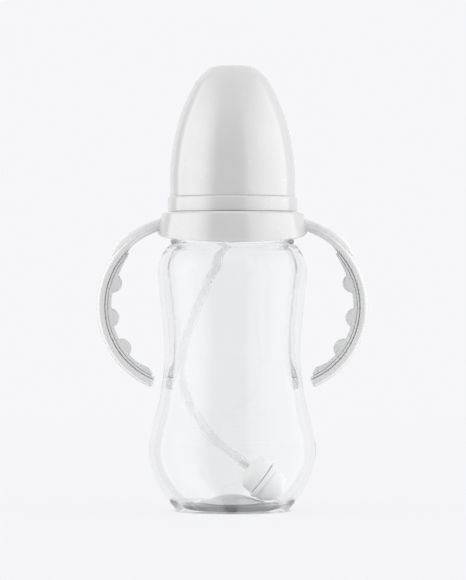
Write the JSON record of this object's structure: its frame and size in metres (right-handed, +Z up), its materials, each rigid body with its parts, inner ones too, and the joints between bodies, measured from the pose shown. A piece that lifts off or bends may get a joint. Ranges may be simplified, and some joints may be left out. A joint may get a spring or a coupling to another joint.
{
  "type": "baby bottle",
  "caption": "Clear waisted baby bottle with side handles, screw collar, teat, domed travel cap and a weighted straw that follows the liquid.",
  "frame": {"origin": "centre of the foot, on the surface that the bottle stands on", "axes": "+Z up along the bottle's axis, +X through the right handle, -Y towards the viewer of the picture"},
  "size_m": [0.116, 0.0714, 0.19],
  "materials": {
    "bottle_glass": "clear, polished, thick-walled",
    "white_plastic": "glossy injection-moulded polypropylene",
    "soft_grip": "satin thermoplastic rubber, pale grey-white",
    "soft_pad": "satin thermoplastic rubber, white",
    "teat_silicone": "translucent silicone",
    "hose_silicone": "translucent silicone tube",
    "weight_shell": "translucent white polypropylene",
    "weight_steel": "turned stainless steel"
  },
  "bodies": {
    "bottle": {"bottle_body": "bottle_glass"},
    "handle": {"handle_ring": "white_plastic", "handle_arm_left": "white_plastic", "handle_arm_right": "white_plastic", "grip_insert_left": "soft_grip", "grip_insert_right": "soft_grip", "thumb_pad_left": "soft_pad", "thumb_pad_right": "soft_pad"},
    "head": {"teat": "teat_silicone", "straw_adaptor": "weight_shell", "adaptor_seal": "teat_silicone"},
    "collar": {"screw_collar": "white_plastic"},
    "cap": {"travel_cap": "white_plastic"},
    "straw": {"straw_tube": "hose_silicone", "weight_shell_upper": "weight_shell", "weight_shell_lower": "weight_shell", "weight_core": "weight_steel"}
  },
  "joints": [
    {"name": "handle_swivel", "type": "hinge", "parent": "bottle", "child": "handle", "pos_m": [0, 0, 0.121], "axis": [0, 0, 1], "continuous": true},
    {"name": "head_lift", "type": "slide", "parent": "bottle", "child": "head", "axis": [0, 0, 1], "range_m": [0, 0.006]},
    {"name": "collar_turn", "type": "hinge", "parent": "head", "child": "collar", "pos_m": [0, 0, 0.125], "axis": [0, 0, 1], "range_deg": [0, 540]},
    {"name": "cap_lift", "type": "slide", "parent": "collar", "child": "cap", "axis": [0, 0, 1], "range_m": [0, 0.07]},
    {"name": "straw_swing", "type": "hinge", "parent": "head", "child": "straw", "pos_m": [0, 0, 0.123], "axis": [0, 0, 1], "range_deg": [-180, 180]}
  ],
  "couplings": [
    {"joint": "collar_turn", "follows": "head_lift", "rad_per_m": 1570.8}
  ]
}
